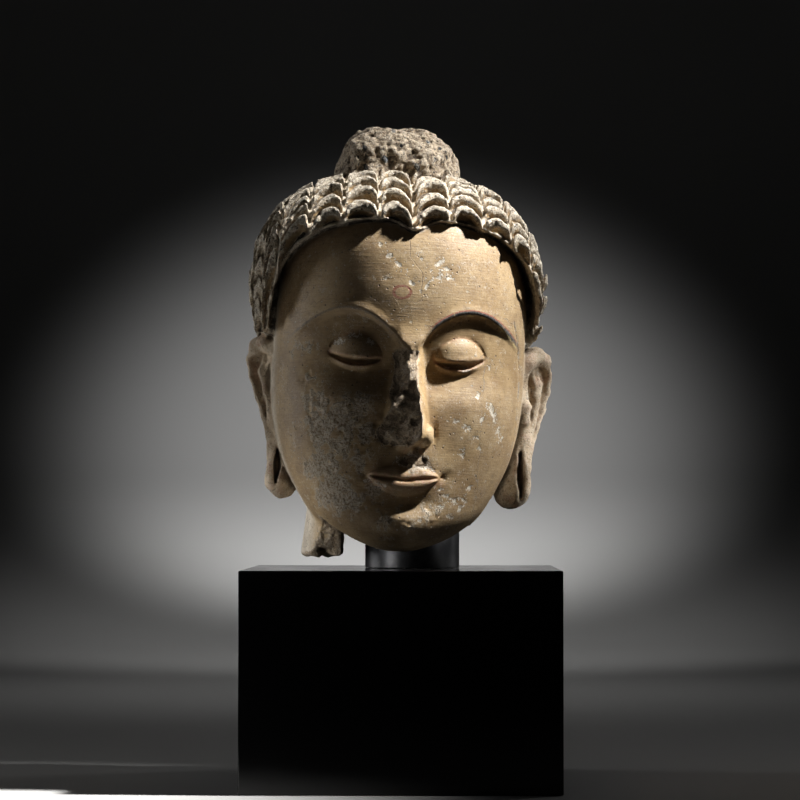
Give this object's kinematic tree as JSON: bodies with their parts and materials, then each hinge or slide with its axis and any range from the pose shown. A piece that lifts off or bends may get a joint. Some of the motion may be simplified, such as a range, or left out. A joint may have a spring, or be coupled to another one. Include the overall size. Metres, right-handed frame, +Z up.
{
  "type": "stucco buddha head",
  "caption": "Large broken stucco head with rows of hair locks, topknot and long ear lobes, held on a round metal post that stands on a square black block.",
  "frame": {"origin": "centre of the block's underside, on the surface that the part stands on", "axes": "+Z up, +Y away from the viewer and towards the back of the head, +X to the viewer's right"},
  "size_m": [0.2526, 0.25, 0.5287],
  "materials": {
    "stucco": "matt weathered lime stucco, tan face with a paler grey-white hair cap",
    "dark_steel": "satin dark grey",
    "black_lacquer": "black gloss lacquer on wood"
  },
  "bodies": {
    "root": {"stucco_head": "stucco", "mount_post": "dark_steel", "plinth_block": "black_lacquer"}
  },
  "joints": []
}
